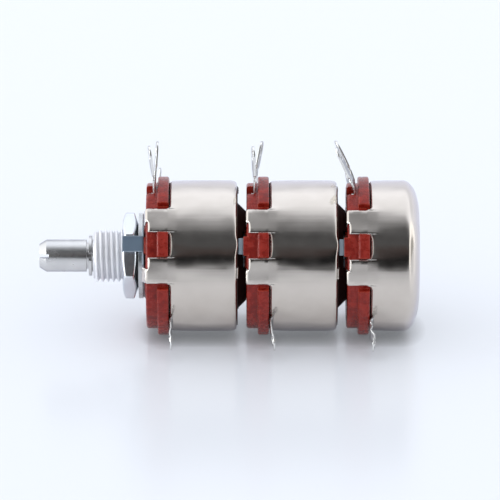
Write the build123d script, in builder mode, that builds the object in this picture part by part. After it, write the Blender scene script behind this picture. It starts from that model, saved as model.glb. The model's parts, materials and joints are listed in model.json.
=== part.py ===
"""Three-gang rotary potentiometer with a threaded bush, on one common shaft.

Frame: the shaft turns about X and points along -X. The origin is on the shaft's axis, in the front
face of the first locating plate, which is the face that a panel seats on. +Z is up, and the part
lies on the flanges of its three bases, rolled so that its locating tab looks up and to -Y.
Angles of a gang are counted in its own plane, from the direction of its locating tab.
"""

import os
from math import atan, cos, degrees, radians, sin, tan

from build123d import *

# The stack
gangs = 3
gang_pitch = 18.65
tab_rise_angles = (29.3, 28.6, 27.65)
slip = 0.05
sheet = 0.4

# Shaft and its retaining ring
shaft_r = 3.0
shaft_reach = 19.4
shaft_running = 0.02
tip_chamfer = 0.8
tip_chamfer_length = 1.3
driver_slot = 0.8
driver_slot_depth = 1.8
driver_slot_angle = 18.0
key_step = 0.5
key_flat = 2.0
key_fit = 0.02
ring_wall = 0.75
ring_thickness = 0.55
ring_gap = 1.5
ring_to_bush = 0.3
ring_groove_play = 0.1
ring_groove_depth = 0.55
ring_groove_length = 1.1

# Bush, nut and washer
bush_r = 4.9
bush_reach = 9.3
bush_chamfer = 0.7
rivet_step = 0.7
rivet_lip = 1.0
rivet_head = 0.6
joining_bore_play = 0.25
nut_flats = 14.0
nut_sides = 6
nut_thickness = 2.95
nut_corner_chamfer = 1.2
nut_angle = -9.0
washer_r = 8.0
washer_thickness = 0.8

# Locating plate
plate_thickness = 0.35
plate_r = 7.9
plate_arm_width = 7.0
tab_width = 3.0
tab_inset = 0.4
tab_lengths = (3.7, 0.8, 0.8)
tab_bend = 0.5
lip_width = 3.5
lip_reach = 0.55

# Can
can_r = 14.1
can_gap = 0.4
stack_gap = 1.35
last_can_length = 8.99
can_corner = 1.0
last_corner_length = 3.0
last_corner_depth = 5.9
leg_angle = 19.8
leg_width = 4.9
leg_fold_width = 2.75
leg_step = 0.45
leg_fold = 1.9
fold_recess = 0.2
fold_play = 0.15
lug_angle = 66.0
lug_reach = 6.6
lug_width = 3.4
crimp_angle = 22.6
crimp_width = 2.2
crimps = 3
crimp_hold = 0.4
crimp_thickness = 0.3

# Base
pad_height = 0.3
pad_root = 1.0
front_layer = 2.15
flange_thickness = 2.05
flange_over_can = 0.7
base_in_can = 0.1
base_corner = 0.5
flange_corner = 0.35
base_rim_wall = 0.65
floor_rise = 0.2
well_depth = 1.4
well_play = 0.4
leg_recess_play_angle = 4.0
boss_play_angle = 1.05

# Track, collector and terminals
element_thickness = 0.8
element_play = 0.1
element_gap_angle = 1.7
track_width = 4.25
collector_play = 0.4
collector_to_track = 1.0
collector_thickness = 0.3
collector_tongue_width = 3.0
collector_tongue_lip = 0.4
terminal_side_angle = -90.0
terminal_spread_angle = 33.0
terminal_names = ("start", "wiper", "end")
terminal_lean_angles = ((-6.3, 3.3, 6.2), (-1.6, 11.3, 4.0), (-23.4, -25.1, -10.0))
terminal_reaches = (8.1, 7.45, 7.4)
terminal_seat = 0.45
terminal_root = 4.2
terminal_bend_inset = 0.6
terminal_width = 3.2
terminal_waist = 1.8
terminal_waist_at = 2.3
waist_length = 0.4
waist_slope = 0.3
terminal_thickness = 0.4
eye_wall = 0.6
eye_length = 2.2
eye_width = 1.1
end_rivet_inset = 1.05
middle_rivet_inset = 2.25
small_rivet_r = 0.8
small_rivet_lip = 0.2
small_rivet_head = 0.4

# Rear plate between two gangs
rear_plate_inset = 0.1
rear_plate_thickness = 0.35
cone_wide_r = 9.9
cone_narrow_r = 8.3

# Rotor, wiper spring and brush
travel_half_angle = 135.0
stop_slack_angle = 2.2
stop_depth = 1.6
stop_overlap = 1.2
carrier_half_angle = 20.0
carrier_in_can = 0.7
carrier_disc_r = 7.5
carrier_lift = 1.8
carrier_thickness = 1.6
hub_r = 4.6
hub_play = 0.3
hub_length = 6.1
shaft_tail = 1.6
spring_thickness = 0.2
spring_root = 3.4
spring_bend = 1.2
spring_flat_start = 1.0
spring_tip = 3.0
track_finger_inset = 1.1
track_finger_width = 1.4
collector_finger_width = 1.2
brush_r = 0.65
brush_length = 0.9
contact_lift = 0.02
contact_r = 0.45
contact_height = 0.25

# Radii that follow
key_r = shaft_r - key_step
ring_r = shaft_r + ring_wall
ring_groove_r = shaft_r - ring_groove_depth
rivet_r = bush_r - rivet_step
rivet_head_r = rivet_r + rivet_lip
joining_bore_r = key_r + joining_bore_play
can_inner_r = can_r - sheet
base_front_r = can_inner_r - base_in_can
base_flange_r = can_r + flange_over_can
element_seat_r = base_front_r - base_rim_wall
track_outer_r = element_seat_r - element_play
track_inner_r = track_outer_r - track_width
rivet_well_r = rivet_head_r + well_play
collector_inner_r = rivet_well_r + collector_play
collector_outer_r = track_inner_r - collector_to_track
stop_inner_r = base_front_r - stop_depth
tab_outer_r = base_front_r - tab_inset
tab_inner_r = tab_outer_r - plate_thickness
end_rivet_r = track_outer_r - end_rivet_inset
middle_rivet_r = track_outer_r - middle_rivet_inset
small_rivet_head_r = small_rivet_r + small_rivet_lip
terminal_root_r = base_front_r - terminal_root
terminal_bend_r = base_flange_r - terminal_bend_inset
waist_r = terminal_bend_r + terminal_waist_at
rear_plate_r = can_r - can_corner - rear_plate_inset
leg_fold_r = can_r - leg_fold
fold_side = (leg_width - leg_fold_width) / 2
lug_tip_r = can_r + lug_reach
carrier_r = can_inner_r - carrier_in_can
track_finger_r = track_inner_r + track_finger_inset
collector_finger_r = (collector_inner_r + collector_outer_r) / 2

# Places along the shaft that follow, from the front of a gang's locating plate
base_front = plate_thickness + pad_height
base_step = base_front + front_layer
base_end = base_step + flange_thickness
base_floor = base_end + floor_rise
base_rim = base_floor + element_thickness
base_web = base_floor - well_depth
can_front = base_end + can_gap
can_end = gang_pitch - stack_gap
last_can_end = can_front + last_can_length
leg_reach = base_front + leg_step
fold_front = base_front + fold_recess - sheet
terminal_back = base_step - terminal_seat
boss_end = gang_pitch + base_front - slip
hub_front = base_web + rivet_head + hub_play
hub_end = hub_front + hub_length
carrier_front = base_rim + carrier_lift
stop_top = carrier_front + stop_overlap
shaft_end = (gangs - 1) * gang_pitch + hub_end + shaft_tail
ring_end = -bush_reach - ring_to_bush
groove_end = ring_end + ring_groove_play

# Angles and sideways places that follow
half_turn = 180.0
quarter_turn = half_turn / 2
stop_half_angle = half_turn - travel_half_angle - carrier_half_angle - stop_slack_angle
leg_half_angle = degrees(atan(leg_width / 2 / can_r))
leg_recess_width_angle = 2 * leg_half_angle + boss_play_angle + leg_recess_play_angle
leg_recess_angle = leg_angle + (leg_recess_play_angle - boss_play_angle) / 2
brush_side = (spring_flat_start + spring_tip) / 2
terminal_places = (
    (terminal_side_angle + terminal_spread_angle, end_rivet_r),
    (terminal_side_angle, middle_rivet_r),
    (terminal_side_angle - terminal_spread_angle, end_rivet_r),
)


def gang_plane(gang, x=0.0, turn=0.0):
    """Plane across the shaft at x behind the gang's plate, its own x towards the gang's tab."""
    angle = radians(half_turn - tab_rise_angles[gang - 1] + turn)
    return Plane(
        origin=((gang - 1) * gang_pitch + x, 0, 0),
        x_dir=(0, cos(angle), sin(angle)),
        z_dir=(1, 0, 0),
    )


def rotor_plane(gang, x=0.0):
    """Plane across the shaft with its own x towards the brush carrier, which the common shaft aligns."""
    first = gang_plane(1, turn=-terminal_side_angle)
    return Plane(origin=((gang - 1) * gang_pitch + x, 0, 0), x_dir=first.x_dir, z_dir=(1, 0, 0))


def lengthwise(plane, outward=0.0, along=0.0):
    """Plane along the shaft: its own x runs to +X, its own y along the given plane's x."""
    origin = plane.origin + plane.x_dir * outward + plane.y_dir * along
    return Plane(origin=origin, x_dir=(1, 0, 0), z_dir=plane.y_dir)


def sector(r_in, r_out, start, end):
    """A piece of a flat ring, from one angle to another."""
    with BuildSketch(mode=Mode.PRIVATE) as piece:
        with BuildLine():
            outer = CenterArc((0, 0), r_out, start, end - start)
            inner = CenterArc((0, 0), r_in, start, end - start)
            Line(inner @ 0, outer @ 0)
            Line(inner @ 1, outer @ 1)
        make_face()
    return piece.sketch


def finish(piece, name):
    """Labels a finished piece and writes it."""
    piece.part.label = name
    export_step(piece.part, f"parts/{name}.step")


def make_shaft():
    tip = -shaft_reach
    with BuildPart() as shaft:
        with BuildSketch(Plane.XZ):
            with BuildLine():
                Polyline(
                    (tip, 0),
                    (tip, shaft_r - tip_chamfer),
                    (tip + tip_chamfer_length, shaft_r),
                    (groove_end - ring_groove_length, shaft_r),
                    (groove_end - ring_groove_length, ring_groove_r),
                    (groove_end, ring_groove_r),
                    (groove_end, shaft_r),
                    (hub_front, shaft_r),
                    (hub_front, 0),
                    close=True,
                )
            make_face()
        revolve(axis=Axis.X)
        with BuildSketch(rotor_plane(1, hub_front)):
            Circle(key_r)
            Rectangle(2 * key_r, 2 * key_flat, mode=Mode.INTERSECT)
        extrude(amount=shaft_end - hub_front)
        with BuildSketch(gang_plane(1, tip, tab_rise_angles[0] - driver_slot_angle)):
            Rectangle(3 * shaft_r, driver_slot)
        extrude(amount=driver_slot_depth, mode=Mode.SUBTRACT)
    finish(shaft, "shaft")


def make_retaining_ring():
    with BuildPart() as ring:
        with BuildSketch(gang_plane(1, ring_end - ring_thickness, tab_rise_angles[0] - driver_slot_angle)):
            Circle(ring_r)
            Circle(ring_groove_r + slip, mode=Mode.SUBTRACT)
            with Locations((ring_r, 0)):
                Rectangle(ring_r, ring_gap, mode=Mode.SUBTRACT)
        extrude(amount=ring_thickness)
    finish(ring, "retaining_ring")


def make_bush():
    bore_r = shaft_r + shaft_running
    with BuildPart() as bush:
        with BuildSketch(Plane.XZ):
            with BuildLine():
                Polyline(
                    (-bush_reach, bore_r),
                    (-bush_reach, bush_r - bush_chamfer),
                    (-bush_reach + bush_chamfer, bush_r),
                    (0, bush_r),
                    (0, rivet_r),
                    (base_web, rivet_r),
                    (base_web, rivet_head_r),
                    (base_web + rivet_head, rivet_head_r),
                    (base_web + rivet_head, bore_r),
                    close=True,
                )
            make_face()
        revolve(axis=Axis.X)
    finish(bush, "mounting_bush")


def make_washer():
    with BuildPart() as washer:
        with BuildSketch(Plane.YZ.offset(-washer_thickness)):
            Circle(washer_r)
            Circle(bush_r + slip, mode=Mode.SUBTRACT)
        extrude(amount=washer_thickness)
    finish(washer, "washer")


def make_nut():
    corner_r = nut_flats / 2 / cos(radians(half_turn / nut_sides))
    rear = -washer_thickness
    front = rear - nut_thickness
    with BuildPart() as nut:
        with BuildSketch(gang_plane(1, front, tab_rise_angles[0] - nut_angle)):
            RegularPolygon(nut_flats / 2, nut_sides, major_radius=False)
            Circle(bush_r + slip, mode=Mode.SUBTRACT)
        extrude(amount=nut_thickness)
        with BuildSketch(Plane.XZ):
            with BuildLine():
                Polyline(
                    (front, 0),
                    (front, nut_flats / 2 - slip),
                    (front + nut_corner_chamfer, corner_r),
                    (rear - nut_corner_chamfer, corner_r),
                    (rear, nut_flats / 2 - slip),
                    (rear, 0),
                    close=True,
                )
            make_face()
        revolve(axis=Axis.X, mode=Mode.INTERSECT)
    finish(nut, "nut")


def make_locating_plate(gang):
    """A flat disc with one arm, whose end is bent forward as the tab that stops the gang turning."""
    bend_r = tab_outer_r - tab_bend
    bend_x = plate_thickness - tab_bend
    with BuildPart() as plate:
        with BuildSketch(gang_plane(gang)):
            Circle(plate_r)
            with Locations((bend_r / 2, 0)):
                Rectangle(bend_r, plate_arm_width)
            Circle(rivet_r + slip, mode=Mode.SUBTRACT)
        extrude(amount=plate_thickness)
        with BuildSketch(lengthwise(gang_plane(gang))):
            with BuildLine():
                Polyline((plate_thickness, bend_r), (plate_thickness, plate_r), (0, plate_r), (0, bend_r))
                CenterArc((bend_x, bend_r), tab_bend - plate_thickness, 0, quarter_turn)
                Polyline(
                    (bend_x, tab_inner_r),
                    (-tab_lengths[gang - 1], tab_inner_r),
                    (-tab_lengths[gang - 1], tab_outer_r),
                    (bend_x, tab_outer_r),
                )
                CenterArc((bend_x, bend_r), tab_bend, 0, quarter_turn)
            make_face()
        extrude(amount=tab_width / 2, both=True)
    finish(plate, f"locating_plate_{gang}")


def make_base(gang):
    front_corner_r = base_front_r - base_corner
    flange_corner_r = base_flange_r - flange_corner
    flange_front = base_step + flange_corner
    flange_rear = base_end - flange_corner
    with BuildPart() as base:
        with BuildSketch(lengthwise(gang_plane(gang))):
            with BuildLine():
                Polyline(
                    (base_front, front_corner_r),
                    (base_front, plate_r),
                    (plate_thickness, plate_r),
                    (plate_thickness, rivet_r + slip),
                    (base_web, rivet_r + slip),
                    (base_web, rivet_well_r),
                    (base_floor, rivet_well_r),
                    (base_floor, element_seat_r),
                    (base_rim, element_seat_r),
                    (base_rim, base_front_r),
                    (base_end, base_front_r),
                    (base_end, flange_corner_r),
                )
                CenterArc((flange_rear, flange_corner_r), flange_corner, 0, quarter_turn)
                Line((flange_rear, base_flange_r), (flange_front, base_flange_r))
                CenterArc((flange_front, flange_corner_r), flange_corner, quarter_turn, quarter_turn)
                Polyline(
                    (base_step, flange_corner_r),
                    (base_step, base_front_r),
                    (base_front + base_corner, base_front_r),
                )
                CenterArc((base_front + base_corner, front_corner_r), base_corner, quarter_turn, quarter_turn)
            make_face()
        revolve(axis=Axis.X)
        # Pad under the arm of the locating plate
        with BuildSketch(gang_plane(gang, plate_thickness)):
            with Locations(((plate_r + tab_inner_r) / 2, 0)):
                Rectangle(tab_inner_r - plate_r + pad_root, tab_width)
        extrude(amount=base_front - plate_thickness + slip)
        # Lip outside the bend of a short tab
        if gang > 1:
            with BuildSketch(gang_plane(gang, base_front - lip_reach)):
                with Locations(((tab_outer_r + slip + base_front_r) / 2, 0)):
                    Rectangle(base_front_r - tab_outer_r - slip, lip_width)
            extrude(amount=lip_reach + base_corner)
        # Recesses that the can's legs lie in, on both sides
        with BuildSketch(gang_plane(gang, base_front)):
            for side in (0, half_turn):
                for centre in (side - leg_recess_angle, side + leg_recess_angle):
                    start = centre - leg_recess_width_angle / 2
                    add(sector(base_front_r, 2 * base_flange_r, start, start + leg_recess_width_angle))
        extrude(amount=base_end - base_front, mode=Mode.SUBTRACT)
        # Shallow recesses under the folded ends of the legs
        for side in (0, half_turn):
            for hand in (1, -1):
                with BuildSketch(gang_plane(gang, base_front, side + hand * leg_angle)):
                    with Locations((leg_fold_r + (can_r - slip) / 2, hand * fold_side)):
                        Rectangle(can_r + slip, leg_fold_width + 2 * fold_play)
                extrude(amount=fold_recess, mode=Mode.SUBTRACT)
        # Pockets and rivet holes of the terminals
        with BuildSketch(gang_plane(gang, plate_thickness)):
            for angle, rivet_at in terminal_places:
                with Locations(Rotation(0, 0, angle)):
                    with Locations((terminal_root_r - slip + base_flange_r / 2, 0)):
                        Rectangle(base_flange_r, terminal_width + 2 * slip)
        extrude(amount=terminal_back - plate_thickness, mode=Mode.SUBTRACT)
        with BuildSketch(gang_plane(gang, plate_thickness)):
            for angle, rivet_at in terminal_places:
                with Locations(Rotation(0, 0, angle)):
                    with Locations((rivet_at, 0)):
                        Circle(small_rivet_r + slip)
        extrude(amount=base_rim, mode=Mode.SUBTRACT)
        # Post that the brush carrier stops against
        with BuildSketch(gang_plane(gang, base_floor - slip)):
            start = terminal_side_angle - stop_half_angle
            add(sector(stop_inner_r, base_front_r, start, start + 2 * stop_half_angle))
        extrude(amount=stop_top - base_floor + slip)
    finish(base, f"base_{gang}")


def make_resistive_element(gang):
    gap_half = stop_half_angle + element_gap_angle
    with BuildPart() as element:
        with BuildSketch(gang_plane(gang, base_floor)):
            start = terminal_side_angle + gap_half
            add(sector(track_inner_r, track_outer_r, start, start + 2 * half_turn - 2 * gap_half))
            for spread in (-terminal_spread_angle, terminal_spread_angle):
                with Locations(Rotation(0, 0, terminal_side_angle + spread)):
                    with Locations((end_rivet_r, 0)):
                        Circle(small_rivet_r + slip, mode=Mode.SUBTRACT)
        extrude(amount=element_thickness)
    finish(element, f"resistive_element_{gang}")


def make_collector(gang):
    tongue = middle_rivet_r + small_rivet_r + collector_tongue_lip
    with BuildPart() as collector:
        with BuildSketch(gang_plane(gang, base_floor)):
            Circle(collector_outer_r)
            with Locations(Rotation(0, 0, terminal_side_angle)):
                with Locations((tongue / 2, 0)):
                    Rectangle(tongue, collector_tongue_width)
                with Locations((middle_rivet_r, 0)):
                    Circle(small_rivet_r + slip, mode=Mode.SUBTRACT)
            Circle(collector_inner_r, mode=Mode.SUBTRACT)
        extrude(amount=collector_thickness)
    finish(collector, f"collector_{gang}")


def make_terminal(gang, place):
    """A flat lug riveted in its pocket, with its eye end leaning out of the flat."""
    angle, rivet_at = terminal_places[place]
    lean = radians(terminal_lean_angles[gang - 1][place])
    front = terminal_back - terminal_thickness
    tip_r = terminal_bend_r + terminal_reaches[place]
    swing = terminal_reaches[place] * tan(lean)
    half = terminal_width / 2
    waist_end_r = waist_r + waist_length
    with BuildPart() as terminal:
        with BuildSketch(lengthwise(gang_plane(gang, 0, angle))):
            with BuildLine():
                Polyline(
                    (front, terminal_root_r),
                    (front, terminal_bend_r),
                    (front + swing, tip_r),
                    (terminal_back + swing, tip_r),
                    (terminal_back, terminal_bend_r),
                    (terminal_back, terminal_root_r),
                    close=True,
                )
            make_face()
        extrude(amount=half, both=True)
        with BuildSketch(gang_plane(gang, front - abs(swing), angle)):
            with BuildLine():
                Polyline(
                    (tip_r - half, half),
                    (waist_end_r + waist_slope, half),
                    (waist_end_r, terminal_waist / 2),
                    (waist_r, terminal_waist / 2),
                    (waist_r - waist_slope, half),
                    (terminal_root_r, half),
                    (terminal_root_r, -half),
                    (waist_r - waist_slope, -half),
                    (waist_r, -terminal_waist / 2),
                    (waist_end_r, -terminal_waist / 2),
                    (waist_end_r + waist_slope, -half),
                    (tip_r - half, -half),
                )
                ThreePointArc((tip_r - half, -half), (tip_r, 0), (tip_r - half, half))
            make_face()
            with Locations((tip_r - eye_wall - eye_length / 2, 0)):
                SlotOverall(eye_length, eye_width, mode=Mode.SUBTRACT)
            with Locations((rivet_at, 0)):
                Circle(small_rivet_r + slip, mode=Mode.SUBTRACT)
        extrude(amount=2 * abs(swing) + terminal_width, mode=Mode.INTERSECT)
    finish(terminal, f"terminal_{gang}_{terminal_names[place]}")


def make_terminal_rivets(gang):
    """Three rivets, each through a terminal, the base and what it connects."""
    head_front = terminal_back - terminal_thickness - small_rivet_head
    tails = (base_floor + element_thickness, base_floor + collector_thickness, base_floor + element_thickness)
    with BuildPart() as rivets:
        for (angle, rivet_at), tail in zip(terminal_places, tails):
            spot = gang_plane(gang, 0, angle)
            for start, length, radius in (
                (head_front, small_rivet_head, small_rivet_head_r),
                (head_front, tail - head_front, small_rivet_r),
                (tail, small_rivet_head, small_rivet_head_r),
            ):
                with BuildSketch(spot.offset(start)):
                    with Locations((rivet_at, 0)):
                        Circle(radius)
                extrude(amount=length)
    finish(rivets, f"terminal_rivets_{gang}")


def make_can(gang):
    """The drawn cover of one gang. Its legs are folded over the front of the base."""
    last = gang == gangs
    with BuildPart() as can:
        with BuildSketch(lengthwise(gang_plane(gang))):
            with BuildLine():
                if last:
                    shoulder = last_can_end - last_corner_length
                    flat_r = can_r - last_corner_depth
                    inner_end = last_can_end - sheet
                    inner_length = last_corner_length - sheet
                    inner_depth = last_corner_depth - sheet
                    centre = (shoulder, flat_r)
                    Line((shoulder, can_inner_r), (can_front, can_inner_r))
                    Polyline((can_front, can_inner_r), (can_front, can_r), (shoulder, can_r))
                    EllipticalCenterArc(centre, last_corner_length, last_corner_depth, arc_size=quarter_turn)
                    Polyline((last_can_end, flat_r), (last_can_end, 0), (inner_end, 0), (inner_end, flat_r))
                    EllipticalCenterArc(centre, inner_length, inner_depth, arc_size=quarter_turn)
                else:
                    shoulder = can_end - can_corner
                    flat_r = can_r - can_corner
                    inner_end = can_end - sheet
                    Line((shoulder, can_inner_r), (can_front, can_inner_r))
                    Polyline((can_front, can_inner_r), (can_front, can_r), (shoulder, can_r))
                    CenterArc((shoulder, flat_r), can_corner, 0, quarter_turn)
                    Polyline(
                        (can_end, flat_r),
                        (can_end, rivet_r + slip),
                        (inner_end, rivet_r + slip),
                        (inner_end, flat_r),
                    )
                    CenterArc((shoulder, flat_r), can_corner - sheet, 0, quarter_turn)
            make_face()
        revolve(axis=Axis.X)
        # Flat legs along the base, split so that only the outer part of each is folded over its front
        for side in (0, half_turn):
            for hand in (1, -1):
                angle = side + hand * leg_angle
                with BuildSketch(gang_plane(gang, leg_reach, angle)):
                    with Locations(((can_inner_r + can_r) / 2, 0)):
                        Rectangle(sheet, leg_width)
                extrude(amount=can_front - leg_reach + sheet)
                with BuildSketch(gang_plane(gang, fold_front, angle)):
                    with Locations(((can_inner_r + can_r) / 2, hand * fold_side)):
                        Rectangle(sheet, leg_fold_width)
                extrude(amount=leg_reach - fold_front)
                with BuildSketch(gang_plane(gang, fold_front, angle)):
                    with Locations(((leg_fold_r + can_r) / 2, hand * fold_side)):
                        Rectangle(can_r - leg_fold_r, leg_fold_width)
                extrude(amount=sheet)
        # Ground lug bent out of the rim
        with BuildSketch(gang_plane(gang, can_front, lug_angle)):
            with BuildLine():
                Polyline(
                    (lug_tip_r - lug_width / 2, -lug_width / 2),
                    (can_inner_r + slip, -lug_width / 2),
                    (can_inner_r + slip, lug_width / 2),
                    (lug_tip_r - lug_width / 2, lug_width / 2),
                )
                ThreePointArc(
                    (lug_tip_r - lug_width / 2, -lug_width / 2),
                    (lug_tip_r, 0),
                    (lug_tip_r - lug_width / 2, lug_width / 2),
                )
            make_face()
            with Locations((lug_tip_r - lug_width / 2 - sheet, 0)):
                SlotOverall(eye_length, eye_width, mode=Mode.SUBTRACT)
        extrude(amount=sheet)
        # Tabs that hold the rear plate
        if not last:
            for turn in range(crimps):
                spot = gang_plane(gang, can_end - sheet, crimp_angle + 2 * half_turn * turn / crimps)
                with BuildSketch(spot):
                    with Locations((rear_plate_r + slip + sheet / 2, 0)):
                        Rectangle(sheet, crimp_width)
                extrude(amount=sheet + rear_plate_thickness)
                with BuildSketch(spot.offset(sheet + rear_plate_thickness)):
                    with Locations((rear_plate_r + slip, 0)):
                        Rectangle(2 * sheet + crimp_hold, crimp_width)
                extrude(amount=crimp_thickness)
    finish(can, f"can_{gang}")


def make_rear_plate(gang):
    """The insulating plate behind a can. Its boss carries the next gang and holds its locating plate."""
    face = can_end + rear_plate_thickness
    with BuildPart() as plate:
        with BuildSketch(lengthwise(gang_plane(gang))):
            with BuildLine():
                Polyline(
                    (can_end, rivet_r + slip),
                    (can_end, rear_plate_r),
                    (face, rear_plate_r),
                    (face, cone_wide_r),
                    (boss_end, cone_narrow_r),
                    (boss_end, plate_r + slip),
                    (gang_pitch, plate_r + slip),
                    (gang_pitch, rivet_r + slip),
                    close=True,
                )
            make_face()
        revolve(axis=Axis.X)
        with BuildSketch(gang_plane(gang + 1)):
            with Locations((cone_wide_r / 2, 0)):
                Rectangle(cone_wide_r, plate_arm_width + 2 * slip)
        extrude(amount=boss_end - gang_pitch, mode=Mode.SUBTRACT)
    finish(plate, f"rear_plate_{gang}")


def make_joining_rivet(gang):
    """The tubular rivet that holds a gang's base to the rear wall of the can in front of it."""
    inside_can = can_end - sheet - gang_pitch
    with BuildPart() as rivet:
        with BuildSketch(lengthwise(gang_plane(gang))):
            with BuildLine():
                Polyline(
                    (inside_can - rivet_head, joining_bore_r),
                    (inside_can - rivet_head, rivet_head_r),
                    (inside_can, rivet_head_r),
                    (inside_can, rivet_r),
                    (base_web, rivet_r),
                    (base_web, rivet_head_r),
                    (base_web + rivet_head, rivet_head_r),
                    (base_web + rivet_head, joining_bore_r),
                    close=True,
                )
            make_face()
        revolve(axis=Axis.X)
    finish(rivet, f"joining_rivet_{gang - 1}")


def make_rotor(gang):
    """The moulded brush carrier, keyed to the shaft's flats."""
    with BuildPart() as rotor:
        with BuildSketch(rotor_plane(gang, hub_front)):
            Circle(hub_r)
        extrude(amount=hub_length)
        with BuildSketch(rotor_plane(gang, carrier_front)):
            Circle(carrier_disc_r)
            add(sector(hub_r - slip, carrier_r, -carrier_half_angle, carrier_half_angle))
        extrude(amount=carrier_thickness)
        with BuildSketch(rotor_plane(gang, hub_front)):
            Circle(key_r + key_fit)
            Rectangle(2 * (key_r + key_fit), 2 * (key_flat + key_fit), mode=Mode.INTERSECT)
        extrude(amount=hub_length, mode=Mode.SUBTRACT)
    finish(rotor, f"rotor_{gang}")


def make_wiper_spring(gang):
    """A leaf on the carrier, with one finger over the track and one over the collector."""
    face = carrier_front - spring_thickness
    track_top = base_floor + element_thickness + contact_lift + brush_length
    collector_top = base_floor + collector_thickness + contact_lift + contact_height
    fingers = (
        (track_finger_r, track_finger_width, track_top),
        (collector_finger_r, collector_finger_width, collector_top),
    )
    pad_in = collector_finger_r - collector_finger_width / 2
    pad_out = track_finger_r + track_finger_width / 2
    with BuildPart() as spring:
        with BuildSketch(rotor_plane(gang, face)):
            with Locations(((pad_in + pad_out) / 2, -(spring_root + spring_bend) / 2)):
                Rectangle(pad_out - pad_in, spring_root - spring_bend)
        extrude(amount=spring_thickness)
        for radius, width, tip in fingers:
            # Bent strip: sideways position along the leaf, then height behind the plate
            side = Plane(
                origin=rotor_plane(gang).origin + rotor_plane(gang).x_dir * radius,
                x_dir=rotor_plane(gang).y_dir,
                z_dir=rotor_plane(gang).x_dir,
            )
            with BuildSketch(side):
                with BuildLine():
                    Polyline(
                        (-spring_root, face),
                        (-spring_bend, face),
                        (spring_flat_start, tip),
                        (spring_tip, tip),
                        (spring_tip, tip + spring_thickness),
                        (spring_flat_start, tip + spring_thickness),
                        (-spring_bend, carrier_front),
                        (-spring_root, carrier_front),
                        close=True,
                    )
                make_face()
            extrude(amount=width / 2, both=True)
        with BuildSketch(rotor_plane(gang, collector_top - contact_height)):
            with Locations((collector_finger_r, brush_side)):
                Circle(contact_r)
        extrude(amount=contact_height)
    finish(spring, f"wiper_spring_{gang}")


def make_brush(gang):
    with BuildPart() as brush:
        with BuildSketch(rotor_plane(gang, base_floor + element_thickness + contact_lift)):
            with Locations((track_finger_r, brush_side)):
                Circle(brush_r)
        extrude(amount=brush_length)
    finish(brush, f"carbon_brush_{gang}")


os.makedirs("parts", exist_ok=True)
make_shaft()
make_retaining_ring()
make_bush()
make_washer()
make_nut()
for gang in range(1, gangs + 1):
    make_locating_plate(gang)
    make_base(gang)
    make_resistive_element(gang)
    make_collector(gang)
    for place in range(len(terminal_places)):
        make_terminal(gang, place)
    make_terminal_rivets(gang)
    make_can(gang)
    make_rotor(gang)
    make_wiper_spring(gang)
    make_brush(gang)
    if gang < gangs:
        make_rear_plate(gang)
    if gang > 1:
        make_joining_rivet(gang)
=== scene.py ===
"""Dressed model of the three-gang rotary potentiometer, built around its CAD frame.

The shaft turns about X and points along -X, +Z is up, and the part lies on the flanges of its three
bases. The object's sizes are in millimetres, and MM turns them into metres. The camera, the floor and
the depths and bevels of the materials are in metres.
"""

import json
from math import ceil, cos, hypot, pi, radians, sin, sqrt, tan

import bmesh
import bpy
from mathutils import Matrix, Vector


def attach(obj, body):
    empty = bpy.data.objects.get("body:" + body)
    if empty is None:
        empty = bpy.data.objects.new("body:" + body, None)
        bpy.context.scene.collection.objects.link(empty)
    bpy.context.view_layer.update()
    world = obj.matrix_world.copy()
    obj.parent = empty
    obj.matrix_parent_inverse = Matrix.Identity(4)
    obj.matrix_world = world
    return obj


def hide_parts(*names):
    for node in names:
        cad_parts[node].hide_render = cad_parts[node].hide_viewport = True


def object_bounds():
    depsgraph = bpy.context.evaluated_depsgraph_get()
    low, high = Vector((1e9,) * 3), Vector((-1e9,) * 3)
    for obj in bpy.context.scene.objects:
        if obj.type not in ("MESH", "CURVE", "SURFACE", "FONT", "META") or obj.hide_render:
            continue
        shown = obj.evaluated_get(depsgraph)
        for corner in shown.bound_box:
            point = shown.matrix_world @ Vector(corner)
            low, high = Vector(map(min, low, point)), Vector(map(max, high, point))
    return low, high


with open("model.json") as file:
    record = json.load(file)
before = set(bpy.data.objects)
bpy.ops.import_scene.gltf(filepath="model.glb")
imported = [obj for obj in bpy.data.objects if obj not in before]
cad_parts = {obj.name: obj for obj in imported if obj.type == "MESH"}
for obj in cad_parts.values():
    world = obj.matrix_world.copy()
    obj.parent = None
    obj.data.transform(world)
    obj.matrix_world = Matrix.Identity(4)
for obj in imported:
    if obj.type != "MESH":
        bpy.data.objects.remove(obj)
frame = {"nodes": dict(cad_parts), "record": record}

CAD_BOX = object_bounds()
MM = 0.001
MERGE = 1e-6

# What the scene shares with the part, in millimetres and degrees
GANGS = 3
PITCH = 18.65
TAB_RISE = (29.3, 28.6, 27.65)

SHEET = 0.4
CAN_R = 14.1
CAN_FRONT = 5.25
CAN_END = 17.3
LAST_END = 14.24
LAST_CORNER = (3.0, 5.9)
LEG_ANGLE = 19.8
LEG_HALF = 2.45
LEG_END = 1.1
FOLD_START = 0.3
CRIMPS = 3
CRIMP_ANGLE = 22.6
GROUND_ANGLE = 66.0
GROUND_HALF = 1.7
BASE_END = 4.85

PLATE_SHEET = 0.35
ARM_HALF = 3.5
TAB_HALF = 1.5
TAB_R = 13.025
TAB_LENGTHS = (3.7, 0.8, 0.8)

TERMINAL_NAMES = ("start", "wiper", "end")
TERMINAL_SIDE = -90
TERMINAL_SPREAD = 33
TERMINAL_X = 2.15
TERMINAL_SHEET = 0.4
TERMINAL_HALF = 1.6
TERMINAL_ROOT_R = 9.4
TERMINAL_BEND_R = 14.2
TERMINAL_REACH = (8.1, 7.45, 7.4)
TERMINAL_LEAN = ((-6.3, 3.3, 6.2), (-1.6, 11.3, 4.0), (-23.4, -25.1, -10.0))
EYE_LENGTH = 2.2
EYE_WIDTH = 1.1
EYE_END = 0.6

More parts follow.
